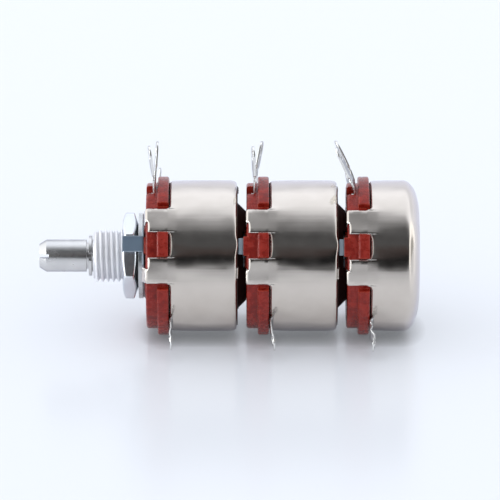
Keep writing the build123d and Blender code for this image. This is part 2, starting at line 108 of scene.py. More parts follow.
BUSH_REACH = 9.3
BUSH_REAR = 3.65
BORE_R = 3.02
RIVET_R = 4.2
RIVET_HEAD = 0.6
RIVET_HEAD_R = 5.2
THREAD_PITCH = 1.0
THREAD_CREST = 4.9
NUT_FRONT = -3.75
NUT_SIDES = 6
NUT_FLAT_R = 7.0
NUT_BORE_R = 4.95
NUT_TURN = 8.3

LAST_SHOULDER = (LAST_END - LAST_CORNER[0], CAN_R - LAST_CORNER[1])
MM_PER_DEGREE = radians(1) * CAN_R

# What only the scene shows of the cans, in millimetres and degrees. A place in a list of rows is where
# the mesh gets a row of points, and an arc has its start, its end and its steps.
RIM_FORWARD = 0.13
RIM_TAPER = 0.1
RIM_ROWS = (0.35, 0.2, 0.08, 0.0)
WALL_TAPER = ((8.6, 0.01), (7.6, 0.03), (6.7, 0.06), (6.0, 0.08))
WALL_ROWS = (12.0, 9.6)
LAST_WALL_ROWS = (10.4, 9.6)
REAR_WALL_R = (4.3, 7.5, 10.5, 12.7, 13.1)
LAST_WALL_R = (0.0, 3.0, 6.0)
LAST_CORNER_ARC = (0, 90, 12)
REAR_SHOULDER = (
    (0.1, 13.2), (0.18, 13.32), (0.2, 13.45), (0.15, 13.62), (0.02, 13.78), (-0.15, 13.9), (-0.35, 13.98),
    (-0.6, 14.03), (-1.0, 14.065), (-1.5, 14.09), (-2.1, 14.1),
)
REAR_DEPTH = 1
REAR_BULGE = 0.3
REAR_BULGE_R = 13.15
REAR_BULGE_ANGLE = 10.0
LEG_CORNERS = (0.7, 0.7, 1.0)
LEG_CORNER_ROWS = (0.05, 0.12, 0.25, 0.45)
LEG_ROWS = (3.9, 3.0, 2.1, 1.5, 1.33, 1.2, LEG_END)
LEG_COLUMNS = (0.13, 0.24, 0.3, 0.9, 1.5, 2.1, 2.28, 2.39, LEG_HALF)
LEG_BLEND = 1.4
FLAT_BEHIND = 6.9
FLAT_BEFORE = 4.9
FOLD_BEND = 0.65
FOLD_BEND_ROWS = (75, 60, 45, 30, 15, 0)
FOLD_DEPTH = 1.2
FOLD_ROWS = (0.3, 0.6, 0.85, 1.0, 1.12, FOLD_DEPTH)
FOLD_LEANS = ((0.2, 0.65), (0.03, 0.05), (0.05, 0.1))
EDGE_ROLL = 0.2
EDGE_ROLL_WIDTH = 0.42
PLAIN_STEP = 0.75
TOLERANCE = 0.01
CRIMP_SHEET = 0.2
CRIMP_HALF = 1.0
CRIMP_ROOT = ((-0.5, 13.2), (0.05, 13.2))
CRIMP_BEND = (0.1, 12.85)
CRIMP_BEND_R = 0.35
CRIMP_BEND_ARC = (70, 10, 4)
CRIMP_TIP = ((0.46, 12.6), (0.44, 12.3))

# What only the scene shows of the terminals, ground lugs and locating plates
TERMINAL_MIDDLE_R = 11.5
TERMINAL_BEND = (0.6, 0.5)
TERMINAL_BEND_SHARE = 0.06
TERMINAL_KNOT_SHARES = (0.4, 0.7, 1.0)
TERMINAL_BOW = ((0.0, 0.0, 0.0), (0.0, 0.0, 0.0), (0.0, 0.25, 0.0))
TERMINAL_TWIST = ((8.0, 5.0, 0.0), (7.0, -6.0, 0.0), (0.0, 0.0, 0.0))
TWIST_START = 0.35
TWIST_LENGTH = 0.3
NECK_R = 16.4
NECK_ROOM = (0.3, 0.6)
NECK = ((-0.28, 0.0), (0.0, 0.7), (0.3, 0.7), (0.58, 0.0))
EYE_ROOT = 0.6
LUG_STEP = 0.3
LUG_SHARES = (-1, -0.5, 0, 0.5, 1)
LUG_END_STEP = 20
LUG_END_RINGS = (0.0, 0.5, 1.0)
GROUND_SHEET = 0.3
GROUND_ROOT = ((0.2, -0.3), (0.2, 0.3))
GROUND_KNOTS = (
    [(5.2, 15.0), (5.3, 16.5), (5.1, 17.8), (5.35, 19.0), (5.3, 20.4)],
    [(5.15, 14.9), (5.3, 16.4), (5.45, 17.8), (5.8, 19.2), (5.85, 20.4)],
    [(5.0, 14.9), (5.35, 16.0), (5.1, 16.9), (5.8, 18.1), (5.55, 19.4), (5.5, 20.4)],
)
PLATE_MIDDLE = 0.175
PLATE_DISC = [(0.0, 4.26), (0.0, 7.7), (0.05, 7.75), (0.3, 7.75), (0.35, 7.7), (0.35, 4.26)]
ARM_SHEET = 0.34
ARM_ROWS = (5.0, 9.0, 12.6)
TAB_TURN = (-1.4, 0.0, 0.0)
TAB_ROOT_R = (11.8, 5.0, 5.0)
TAB_STRAIGHT_R = 12.5
TAB_BEND = (-0.15, 12.7)
TAB_BEND_R = 0.325
TAB_BEND_ARC = (0, 90, 6)
TAB_BEND_END = -0.3
STRIP_SHARES = (-1, -0.9, -0.5, 0, 0.5, 0.9, 1)

# What only the scene shows of the bush and the nut, whose rear is 0.02 mm clear of the washer
BUSH_TIP_R = 4.1
BUSH_TIP_SLOPE = 1.1
BORE_CHAMFER = (0.25, 3.3)
THREAD_FLANK = 4.62
THREAD_ROOT = 4.3
THREAD_FORM = (
    (0.0, THREAD_CREST), (0.14, THREAD_CREST), (0.3, THREAD_FLANK), (0.46, THREAD_ROOT), (0.66, THREAD_ROOT),
    (0.82, THREAD_FLANK),
)
THREAD_STEPS = 72
NUT_STEPS = 120
NUT_REAR = -0.82
NUT_FACE_R = (6.7, 5.7)
NUT_SLOPE = 0.36
NUT_BORE_EDGE = 0.35

# How far behind a base's end the gap to the can is painted black as shade, in millimetres
SEAM_BEHIND = 0.02

# How meshes are cut and rounded, in millimetres and degrees
TURN_STEPS = 96
CURVE_STEPS = 6
SHARP_ANGLE = 28
BEVEL_ANGLE = 35
CAN_EDGE = 0.08
STRIP_EDGE = 0.07
LUG_EDGE = 0.08
NUT_EDGE = 0.22

# Materials: noise scales a metre, bevels and the first figure of the painted edge highlights and wear in
# metres
PATCH_SCALE = 260.0
GRAIN_SCALE = 2600.0
DENT_SCALE = 130.0
MOTTLE_SCALE = 700.0
MOULD_GRAIN_SCALE = 4200.0
BEVEL_SAMPLES = 6
METAL_BEVEL = 0.00006
MOULD_BEVEL = 0.00028
# Edges painted pale: white highlights on metal, and rubbed wear with highlights on the phenolic
METAL_EDGE_HIGHLIGHT = (0.0003, 0.985, 0.85)
MOULD_EDGE_HIGHLIGHT_AND_WEAR = (0.00022, 0.97, 0.80)
HIGHLIT_EDGE_PLATING = 0.3
BLUE_TINT = 1.1
NOISE_LOW = 0.3
NOISE_HIGH = 0.7
GRAIN_STRENGTH = 0.6
MOULD_GRAIN_STRENGTH = 0.7
MOULD_SPECULAR = 0.35
MOULD_SPREAD = (0.08, 0.1)
# Painted shade: the black of the gap between a base's end and its can
SEAM_SHADE = (0.004, 0.002, 0.002)

# Camera
CAMERA_RISE = radians(21.0)
CAMERA_DISTANCE = 1.0
FRAME_WIDTH = 0.09363
FRAME_MIDDLE_X = 0.01997
FRAME_MIDDLE_UP = 0.00105
SENSOR = 36.0
VIEW_START = 0.05
VIEW_DEPTH = 100.0

# Floor and backdrop
FLOOR_Z = CAD_BOX[0][2]
FLOOR_CORNERS = ((-20.0, -45.0), (60.0, -45.0), (60.0, 35.0), (-20.0, 35.0))
FLOOR_TONE = (0.685, 0.717, 0.783)
FLOOR_ROUGHNESS = 0.22
FLOOR_SPECULAR = 0.55
FLOOR_GLOW = 0.16
# Painted contact shadow: the tone the floor's colour darkens to near the object
CONTACT_SHADOW_TONE = (0.05, 0.045, 0.045)
CONTACT_REACH = 0.0034
CONTACT_SAMPLES = 8
PALE = (0.885, 0.935, 1.0)
WHITE = (1.0, 1.0, 1.0)
FILL_LEVEL = 0.97
FRONT_FILL = 0.3
STUDIO_LEVEL = 1.4
STUDIO_TINT = (0.95, 1.0, 1.09)
# Sideways lights: where they start, where they are full, and their colour
LEFT_SIDE = (0.22, 0.6, (0.98, 1.01, 1.04))
RIGHT_SIDE = (0.94, 0.97, (0.36, 0.37, 0.37))
LEFT_LAMP = (0.93, 0.975, (6.0, 6.1, 6.2))
RIGHT_LAMP = (0.83, 0.90, (1.15, 1.17, 1.19))
# The light from the camera's side, over the top, to behind the object
STUDIO_ARC = (
    (0.0, 0.24), (0.03, 0.06), (0.06, 0.010), (0.10, 0.014), (0.15, (0.054, 0.042, 0.039)), (0.21, 0.072),
    (0.27, 0.062), (0.33, 0.092), (0.394, 0.225), (0.45, 0.36), (0.51, 0.71), (0.578, 0.886), (0.728, 1.0),
    (0.83, 0.736), (1.0, 0.786),
)


# Shader building

class Shader:
    """A node tree that is written one node a line."""

    def __init__(self, tree):
        self.tree = tree
        self.tree.nodes.clear()

    def put(self, kind, settings=None, **inputs):
        node = self.tree.nodes.new("ShaderNode" + kind)
        for key, value in (settings or {}).items():
            setattr(node, key, value)
        for key, value in inputs.items():
            self.plug(node, key, value)
        return node

    def plug(self, node, key, value):
        socket = node.inputs[int(key[1:])] if key[1:].isdigit() else node.inputs[key.replace("_", " ")]
        if isinstance(value, bpy.types.NodeSocket):
            self.tree.links.new(value, socket)
        elif isinstance(value, bpy.types.Node):
            self.tree.links.new(value.outputs[0], socket)
        elif isinstance(value, (tuple, list)) and len(value) == 3 and socket.type == "RGBA":
            socket.default_value = (*value, 1.0)
        else:
            socket.default_value = value

    def math(self, operation, first, second=0.5, third=0.5):
        return self.put("Math", {"operation": operation}, i0=first, i1=second, i2=third)

    def ramp(self, value, stops):
        """A colour ramp through (place, colour or grey) stops."""
        node = self.put("ValToRGB", None, i0=value)
        elements = node.color_ramp.elements
        while len(elements) < len(stops):
            elements.new(1.0)
        for element, (place, colour) in zip(elements, stops):
            element.position = place
            element.color = (*colour, 1.0) if isinstance(colour, tuple) else (colour, colour, colour, 1.0)
        return node

    def mix(self, factor, first, second, blend="MIX"):
        node = self.put("Mix", {"data_type": "RGBA", "blend_type": blend}, i0=factor)
        self.plug(node, "i6", first)
        self.plug(node, "i7", second)
        return node.outputs[2]

    def noise(self, place, scale, detail=3.0, roughness=0.55, stretch=(1, 1, 1)):
        mapping = self.put("Mapping", None, i0=place, Scale=stretch)
        return self.put("TexNoise", None, Vector=mapping, Scale=scale, Detail=detail, Roughness=roughness)


def material(name):
    """An empty material with its coordinates in metres and its surface shader."""
    found = bpy.data.materials.new(name)
    found.use_nodes = True
    s = Shader(found.node_tree)
    coordinates = s.put("TexCoord")
    surface = s.put("BsdfPrincipled")
    output = s.put("OutputMaterial")
    s.tree.links.new(surface.outputs[0], output.inputs[0])
    return found, s, coordinates.outputs["Object"], surface


def rounded(s, radius):
    """The surface's normal with its edges rounded off."""
    return s.put("Bevel", {"samples": BEVEL_SAMPLES}, Radius=radius)


def edges(s, radius, low, high):
    """A mask that is 1 along sharp edges."""
    bevel = rounded(s, radius)
    plain = s.put("NewGeometry").outputs["Normal"]
    along = s.put("VectorMath", {"operation": "DOT_PRODUCT"}, i0=bevel, i1=plain).outputs["Value"]
    return s.put("MapRange", None, i0=along, i1=low, i2=high)


def groove_mask(s, place, inner, outer):
    """A mask that rises from 0 to 1 between two distances from the shaft's axis, in millimetres."""
    axes = s.put("SeparateXYZ", None, i0=place)
    squares = [s.math("MULTIPLY", axes.outputs[i], axes.outputs[i]) for i in ("Y", "Z")]
    radius = s.math("POWER", s.math("ADD", *squares), 0.5)
    return s.put("MapRange", None, i0=radius, i1=inner * MM, i2=outer * MM)


def metal(
    name, colour, dull, shine, spread, grain=(1, 1, 1), grain_height=0.5e-5, stain=0.12, plated=1.0,
    dents=0.0, tint=1.0, painted_groove_shade=(), edge=None,
):
    """Plated or turned metal: colour, darker tone, roughness and its spread, line direction and depth.

    A plating below 1 scatters part of the light, dents are the depth of a drawn wall's waves, and a tint
    below 1 darkens the surface where it is seen at a low angle. A painted groove shade gives the radii
    between which the tone rises from a darker one painted as shade in a thread's grooves; edge is a painted
    highlight tone on edges.
    """
    made, s, place, surface = material(name)
    broad = s.noise(place, PATCH_SCALE, 4.0)
    fine = s.noise(place, GRAIN_SCALE, 3.0, stretch=grain)
    patches = s.ramp(broad, ((0.35, dull), (0.62, colour)))
    tone = s.mix(stain, colour, patches.outputs[0])
    metallic = plated
    # Painted shade: the thread's grooves get a darker tone than its crests
    if painted_groove_shade:
        inner, outer, groove_shade_tone = painted_groove_shade
        tone = s.mix(groove_mask(s, place, inner, outer), groove_shade_tone, tone)
    # Painted highlight: sharp edges turn pale and less metallic, so they show as white lines
    if edge:
        edge_highlight_and_wear = edges(s, *METAL_EDGE_HIGHLIGHT)
        tone = s.mix(edge_highlight_and_wear, tone, edge)
        metallic = s.put("MapRange", None, i0=edge_highlight_and_wear, i1=0.0, i2=1.0, i3=plated, i4=HIGHLIT_EDGE_PLATING * plated)
    s.plug(surface, "Base_Color", tone)
    s.plug(surface, "Specular_Tint", (tint, tint, BLUE_TINT * tint))
    s.plug(surface, "Metallic", metallic)
    less, more = shine - spread, shine + spread
    rough = s.put("MapRange", None, i0=broad, i1=NOISE_LOW, i2=NOISE_HIGH, i3=less, i4=more)
    s.plug(surface, "Roughness", rough)
    shape = rounded(s, METAL_BEVEL)
    if dents:
        waves = s.noise(place, DENT_SCALE, 1.5, 0.4, (0.6, 1, 1))
        shape = s.put("Bump", None, Strength=1.0, Distance=dents, Height=waves, Normal=shape)
    bump = s.put("Bump", None, Strength=GRAIN_STRENGTH, Distance=grain_height, Height=fine, Normal=shape)
    s.plug(surface, "Normal", bump)
    return made


def moulded(name, colour, dark, light, edge, shine, grain_height, seam=0.0):
    """Pressed phenolic: mottled colour, paler edges, a fine grain and a soft polish.

    The paler edges are partly rubbed wear and partly painted highlight. Behind the seam, a place counted
    from a gang's plate, it is painted black as the shade in the gap to the can.
    """
    made, s, place, surface = material(name)
    mottle = s.noise(place, MOTTLE_SCALE, 6.0, 0.65)
    grain = s.noise(place, MOULD_GRAIN_SCALE, 3.0)
    tone = s.ramp(mottle, ((0.3, dark), (0.5, colour), (0.75, light)))
    # Paler edges: partly rubbed wear and partly painted highlight
    edge_highlight_and_wear = s.mix(edges(s, *MOULD_EDGE_HIGHLIGHT_AND_WEAR), tone.outputs[0], edge)
    less, more = shine - MOULD_SPREAD[0], shine + MOULD_SPREAD[1]
    rough = s.put("MapRange", None, i0=mottle, i1=NOISE_LOW, i2=NOISE_HIGH, i3=less, i4=more)
    # Painted shade: black behind the base's end, in the gap to the can's rim
    if seam:
        along = s.put("SeparateXYZ", None, i0=place).outputs["X"]
        behind = s.math("GREATER_THAN", s.math("MODULO", along, PITCH * MM), seam * MM)
        edge_highlight_and_wear = s.mix(behind, edge_highlight_and_wear, SEAM_SHADE)
        rough = s.math("MAXIMUM", rough, behind)
    s.plug(surface, "Base_Color", edge_highlight_and_wear)
    s.plug(surface, "Specular_IOR_Level", MOULD_SPECULAR)
    s.plug(surface, "Roughness", rough)
    height = s.math("ADD", grain, mottle)
    soft = rounded(s, MOULD_BEVEL)
    bump = s.put(
        "Bump", None, Strength=MOULD_GRAIN_STRENGTH, Distance=grain_height, Height=height, Normal=soft,
    )
    s.plug(surface, "Normal", bump)
    return made


FINISHES = {
    # The can's edge tone is a painted white highlight
    "can_metal": metal(
        "can_nickel", (0.71, 0.65, 0.585), (0.54, 0.48, 0.42), 0.155, 0.05,
        grain_height=0.4e-5, stain=0.2, dents=5.5e-4, tint=0.85, edge=(0.93, 0.925, 0.91),
    ),
    "plated_brass": metal(
        "bright_zinc", (0.87, 0.90, 0.93), (0.70, 0.72, 0.76), 0.2, 0.06,
        stain=0.2, plated=0.92, tint=0.6,
    ),
    # The darker tone in the thread's grooves is painted shade
    "thread_zinc": metal(
        "thread_zinc", (0.93, 0.94, 0.97), (0.74, 0.75, 0.79), 0.36, 0.08,
        stain=0.2, plated=0.3, tint=0.8, painted_groove_shade=(4.4, 4.75, (0.66, 0.67, 0.70)),
    ),
    "washer_zinc": metal(
        "washer_zinc", (0.62, 0.63, 0.63), (0.45, 0.45, 0.45), 0.26, 0.06,
        stain=0.2, plated=0.92,
    ),
    "shaft_steel": metal(
        "turned_steel", (0.74, 0.73, 0.72), (0.5, 0.5, 0.5), 0.24, 0.08,
        grain=(3, 0.8, 0.8), grain_height=3.5e-5, stain=0.3, plated=0.97, tint=0.5,
    ),
    # The plate's edge tone is a painted pale highlight
    "plate_steel": metal(
        "pressed_steel", (0.15, 0.21, 0.28), (0.10, 0.14, 0.19), 0.35, 0.06,
        stain=0.4, plated=0.35, edge=(0.62, 0.66, 0.70),
    ),
    # A darker, fully metallic copy of the plate's steel: painted shade for the disc
    "plate_painted_shade": metal(
        "plate_painted_shade", (0.30, 0.32, 0.34), (0.2, 0.2, 0.2), 0.4, 0.06,
        stain=0.4,
    ),
    # A lighter copy of the plate's steel: painted light for the arm and the later tabs
    "plate_painted_light": metal(
        "plate_painted_light", (0.30, 0.37, 0.43), (0.20, 0.25, 0.30), 0.35, 0.06,
        stain=0.4, plated=0.35,
    ),
    "terminal_metal": metal(
        "silvered_brass", (0.90, 0.90, 0.88), (0.50, 0.47, 0.42), 0.2, 0.07,
        grain_height=0.6e-5, stain=0.25, plated=0.9, tint=0.4,
    ),
    "spring_bronze": metal(
        "bronze", (0.62, 0.40, 0.20), (0.4, 0.24, 0.1), 0.28, 0.06,
    ),
    # Its pale edge tone is partly rubbed wear and partly painted highlight, and it is painted black as shade
    # behind the seam
    "red_phenolic": moulded(
        "red_phenolic", (0.225, 0.012, 0.006), (0.135, 0.006, 0.004), (0.33, 0.023, 0.012),
        (0.56, 0.075, 0.035), 0.26, 4.5e-5, BASE_END + SEAM_BEHIND,
    ),
    "dark_phenolic": moulded(
        "dark_phenolic", (0.030, 0.012, 0.010), (0.016, 0.008, 0.006), (0.05, 0.02, 0.016),
        (0.08, 0.03, 0.02), 0.4, 1.5e-5,
    ),
    "track_board": moulded(
        "track_board", (0.05, 0.025, 0.015), (0.03, 0.015, 0.01), (0.08, 0.04, 0.02), (0.1, 0.05, 0.03),
        0.5, 0.8e-5,
    ),
    "carbon": moulded(
        "carbon", (0.015, 0.015, 0.015), (0.01, 0.01, 0.01), (0.03, 0.03, 0.03), (0.04, 0.04, 0.04),
        0.5, 0.8e-5,
    ),
}

SLOT_OF = {row["node"]: row["material_slot"] for row in frame["record"]["subparts"]}


def dress(obj, finish):
    obj.data.materials.clear()
    obj.data.materials.append(FINISHES[finish])


# Places and directions round the shaft

def unit(gang, angle):
    """Direction across the shaft, counted from a gang's tab and growing downwards on the near side."""
    turn = radians(180 - TAB_RISE[gang - 1] + angle)
    return Vector((0, cos(turn), sin(turn)))


def spot(gang, x, r, angle, aside=0.0):
    """Place behind a gang's plate and out from the shaft, and aside from there in the flat across it."""
    return Vector(((gang - 1) * PITCH + x, 0, 0)) + unit(gang, angle) * r + unit(gang, angle + 90) * aside


def smooth_step(value):
    value = min(max(value, 0.0), 1.0)
    return value * value * (3 - 2 * value)


def arc(centre, along, out, start, end, steps):
    """Points of an upright ellipse arc in the (x, r) plane, from a start to an end angle in degrees."""
    angles = [radians(start + (end - start) * step / steps) for step in range(steps + 1)]
    return [(centre[0] + along * cos(a), centre[1] + out * sin(a)) for a in angles]


# Meshes

def make_piece(name, points, faces, body, finish, hides=(), closed=True):
    """A new piece that rides on a body, stands for CAD nodes and takes its finish from a slot."""
    mesh = bpy.data.meshes.new(name)
    mesh.from_pydata([tuple(place * MM) for place in points], [], faces)
    work = bmesh.new()
    work.from_mesh(mesh)
    bmesh.ops.remove_doubles(work, verts=work.verts, dist=MERGE)
    bmesh.ops.dissolve_degenerate(work, edges=work.edges, dist=MERGE)
    if closed:
        bmesh.ops.recalc_face_normals(work, faces=work.faces)
    work.to_mesh(mesh)
    work.free()
    mesh.shade_smooth()
    piece = bpy.data.objects.new(name, mesh)
    bpy.context.scene.collection.objects.link(piece)
    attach(piece, body)
    if hides:
        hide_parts(*hides)
    dress(piece, finish)
    return piece


def thicken(piece, thickness, offset):
    wall = piece.modifiers.new("wall", "SOLIDIFY")
    wall.thickness = thickness * MM
    wall.offset = offset
    wall.use_even_offset = True


def round_edges(piece, width):
    """Rounds the sharp edges and keeps the flats flat in the shading."""
    edge = piece.modifiers.new("edges", "BEVEL")
    edge.width = width * MM
    edge.segments = 2
    edge.limit_method = "ANGLE"
    edge.angle_limit = radians(BEVEL_ANGLE)
    level = piece.modifiers.new("flats", "WEIGHTED_NORMAL")
    level.keep_sharp = True


def columns_to_faces(columns, around):
    """Faces between neighbouring columns of points, as far as both columns reach."""
    points = [place for column in columns for place in column]
    starts = [sum(len(column) for column in columns[:i]) for i in range(len(columns))]
    faces = []
    last = len(columns) if around else len(columns) - 1
    for i in range(last):
        j = (i + 1) % len(columns)
        for k in range(min(len(columns[i]), len(columns[j])) - 1):
            faces.append((starts[i] + k, starts[i] + k + 1, starts[j] + k + 1, starts[j] + k))
    return points, faces


# Cans

def can_profile(gang):
    """(x, r) from the middle of the rear wall forward to where the rim begins."""
    if gang == GANGS:
        wall = [(LAST_END, r) for r in LAST_WALL_R]
        wall += arc(LAST_SHOULDER, *LAST_CORNER, *LAST_CORNER_ARC)
        return wall + [(x, CAN_R) for x in LAST_WALL_ROWS]
    wall = [(CAN_END, r) for r in REAR_WALL_R]
    wall += [(CAN_END + x, r) for x, r in REAR_SHOULDER]
    return wall + [(x, CAN_R) for x in WALL_ROWS]


def fold_rows(gang, middle, side):
    """Rows of a leg's bend and of its end, which lies on the base's front."""
    rows = []
    for angle in FOLD_BEND_ROWS:
        along, out = cos(radians(angle)), sin(radians(angle))
        rows.append((LEG_END - FOLD_BEND * along, CAN_R - FOLD_BEND + FOLD_BEND * out, -along, out, side))
    lean = FOLD_LEANS[gang - 1][0 if middle < 0 or middle > 180 else 1]
    for depth in FOLD_ROWS:
        x = LEG_END - FOLD_BEND - lean * depth / FOLD_DEPTH
        rows.append((x, CAN_R - FOLD_BEND - depth, -1, 0, min(side, FOLD_DEPTH - depth)))
    return rows


def can_column(gang, middle, hand, aside):
    """One lengthwise column of a can: the wall, the rim and, within a leg, the leg and its fold.

    Each row has its place and radius, the direction in which the surface faces there, along the shaft
    and out, and its distance from the sheet's edge, which rolls inwards.
    """
    side = LEG_HALF - abs(aside)
    inside_leg = side >= 0
    beyond = max(-side, 0.0)
    turn = aside / MM_PER_DEGREE
    corner = LEG_CORNERS[gang - 1]
    rim = CAN_FRONT - RIM_FORWARD - corner + sqrt(corner ** 2 - (corner - min(beyond, corner)) ** 2)
    near = 1 - smooth_step(beyond / LEG_BLEND)
    lift = CAN_R / cos(radians(min(abs(turn), LEG_HALF / MM_PER_DEGREE))) - CAN_R
    rows = [(x, r, 0, 1, EDGE_ROLL_WIDTH) for x, r in can_profile(gang)]
    rows += [(x, CAN_R - taper, 0, 1, EDGE_ROLL_WIDTH) for x, taper in WALL_TAPER]
    rows += [(rim + step, CAN_R - RIM_TAPER, 0, 1, side if inside_leg else step) for step in RIM_ROWS]
    if inside_leg:
        folded = hand * aside > -FOLD_START - TOLERANCE
        rows += [(x, CAN_R, 0, 1, side if folded else min(side, x - LEG_END)) for x in LEG_ROWS]
        if folded:
            rows += fold_rows(gang, middle, min(side, hand * aside + FOLD_START))
    column = []
    for x, r, along, out, edge in rows:
        drop = EDGE_ROLL * max(0.0, 1 - edge / EDGE_ROLL_WIDTH) ** 2
        if x < LEG_END - TOLERANCE:
            column.append(spot(gang, x - along * drop, r - out * drop, middle, aside))
            continue
        flat = near * smooth_step((FLAT_BEHIND - x) / (FLAT_BEHIND - FLAT_BEFORE))
        if x < CAN_END - REAR_DEPTH:
            r += (CAN_R - r + lift) * flat - drop
        elif gang < GANGS and r > REAR_BULGE_R:
            from_tab = abs((middle + turn + 180) % 360 - 180)
            x += REAR_BULGE * smooth_step(1 - from_tab / REAR_BULGE_ANGLE)
        column.append(spot(gang, x, r, middle + turn))
    return column


def make_can(gang):
    """A can whose four legs are flat and whose wall between them is round."""
    columns = []
    middles = (-LEG_ANGLE, LEG_ANGLE, 180 - LEG_ANGLE, 180 + LEG_ANGLE)
    half = list(LEG_COLUMNS) + [LEG_HALF + step for step in (*LEG_CORNER_ROWS, LEG_CORNERS[gang - 1])]
    across = [-step for step in reversed(half)] + [0.0] + half
    for i, middle in enumerate(middles):
        hand = 1 if i % 2 else -1
        following = middles[(i + 1) % len(middles)]
        columns += [can_column(gang, middle, hand, aside) for aside in across]
        gap = (following - middle) % 360 * MM_PER_DEGREE
        free = gap - 2 * half[-1]
        steps = ceil(free / PLAIN_STEP)
        for step in range(1, steps):
            aside = half[-1] + free * step / steps
            if aside < gap / 2:
                columns.append(can_column(gang, middle, hand, aside))
            else:
                columns.append(can_column(gang, following, -hand, aside - gap))
    points, faces = columns_to_faces(columns, True)
    can = make_piece(f"can_shell_{gang}", points, faces, "housing", "can_metal", (f"can_{gang}",), False)
    thicken(can, SHEET, -1)
    round_edges(can, CAN_EDGE)


def make_strip(name, gang, angle, path, half, thickness, finish):
    """A plain strip of sheet along a path of (x, r) points."""
    columns = [[spot(gang, x, r, angle, half * share) for x, r in path] for share in STRIP_SHARES]
    points, faces = columns_to_faces(columns, False)
    strip = make_piece(name, points, faces, "housing", finish)
    thicken(strip, thickness, 0)
    round_edges(strip, STRIP_EDGE)
    return strip


def make_turned(name, gang, outline, body, finish, hides=()):
    """A closed outline of (x, r) points turned round the shaft."""
    columns = []
    for step in range(TURN_STEPS):
        columns.append([spot(gang, x, r, 360 * step / TURN_STEPS) for x, r in outline + outline[:1]])
    points, faces = columns_to_faces(columns, True)
    piece = make_piece(name, points, faces, body, finish, hides)
    piece.data.set_sharp_from_angle(angle=radians(SHARP_ANGLE))
    return piece


def path_place(path, along):
    """(x, r) at a distance along a path of (x, r) points."""
    for (x0, r0), (x1, r1) in zip(path, path[1:]):
        step = hypot(x1 - x0, r1 - r0)
        if along <= step or (x1, r1) == path[-1]:
            share = along / step
            return x0 + (x1 - x0) * share, r0 + (r1 - r0) * share
        along -= step


def curve_through(knots):
    """Points of a smooth curve through (x, r) knots."""
    ends = [knots[0]] + list(knots) + [knots[-1]]
    curve = [knots[0]]
    for a, b, c, d in zip(ends, ends[1:], ends[2:], ends[3:]):
        for step in range(1, CURVE_STEPS + 1):
            t = step / CURVE_STEPS
            weights = (
                -t + 2 * t * t - t ** 3, 2 - 5 * t * t + 3 * t ** 3,
                t + 4 * t * t - 3 * t ** 3, t ** 3 - t * t,
            )
            curve.append(tuple(sum(w * p[i] for w, p in zip(weights, (a, b, c, d))) / 2 for i in (0, 1)))
    return curve


def lug_shank(head, half, neck):
    """Flat (along, aside) points and faces of a lug, in rows across it, up to where its head begins."""
    steps = ceil(head / LUG_STEP)
    rows = [(head * step / steps, half) for step in range(steps + 1)]
    if neck:
        before, after = NECK_ROOM
        rows = [row for row in rows if not neck - before < row[0] < neck + after]
        rows += [(neck + step, half - depth) for step, depth in NECK]
        rows.sort()
    points = [(along, wide * share) for along, wide in rows for share in LUG_SHARES]
    across = len(LUG_SHARES)
    faces = []
    for row in range(len(rows) - 1):
        for k in range(across * row, across * (row + 1) - 1):
            faces.append((k, k + 1, k + 1 + across, k + across))
    return points, faces


def lug_head(head, length, half, first):
    """Flat points and faces of a lug's round end, in rings from its outline to its slot-shaped eye."""
    turn = length - half
    middle = head + (turn - head) / 2
    outline = [(head, half * share) for share in LUG_SHARES] + [(middle, half), (turn, half)]
    for angle in range(LUG_END_STEP, 180, LUG_END_STEP):
        outline.append((turn + half * sin(radians(angle)), half * cos(radians(angle))))
    outline += [(turn, -half), (middle, -half)]
    eye = length - EYE_END - EYE_LENGTH / 2
    points, faces = [], []
    for share in LUG_END_RINGS:
        for along, aside in outline:
            ahead, beside = (along - eye) / (EYE_LENGTH / 2 + EYE_END), aside / half
            reach = hypot(ahead, beside)
            inner = (eye + ahead / reach * EYE_LENGTH / 2, beside / reach * EYE_WIDTH / 2)
            points.append((along + (inner[0] - along) * share, aside + (inner[1] - aside) * share))
    count = len(outline)
    for ring in range(len(LUG_END_RINGS) - 1):
        for k in range(count):
            a = first + ring * count + k
            b = first + ring * count + (k + 1) % count
            faces.append((a, b, b + count, a + count))
    return points, faces


def make_lug(name, gang, angle, knots, half, neck, thickness, finish, hides=(), twist=0.0):
    """A strip along a curve, narrow at its neck, whose round end has a slot-shaped eye and may be twisted."""
    path = curve_through(knots)
    length = sum(hypot(x1 - x0, r1 - r0) for (x0, r0), (x1, r1) in zip(path, path[1:]))
    head = length - EYE_END - EYE_LENGTH - EYE_ROOT
    shank, shank_faces = lug_shank(head, half, neck)
    end, end_faces = lug_head(head, length, half, len(shank))
    points = []
    for along, aside in shank + end:
        x, r = path_place(path, along)
        turn = radians(twist) * smooth_step((along / length - TWIST_START) / TWIST_LENGTH)
        points.append(spot(gang, x + aside * sin(turn), r, angle, aside * cos(turn)))
    lug = make_piece(name, points, shank_faces + end_faces, "housing", finish, hides)
    thicken(lug, thickness, 0)
    round_edges(lug, LUG_EDGE)
    return lug


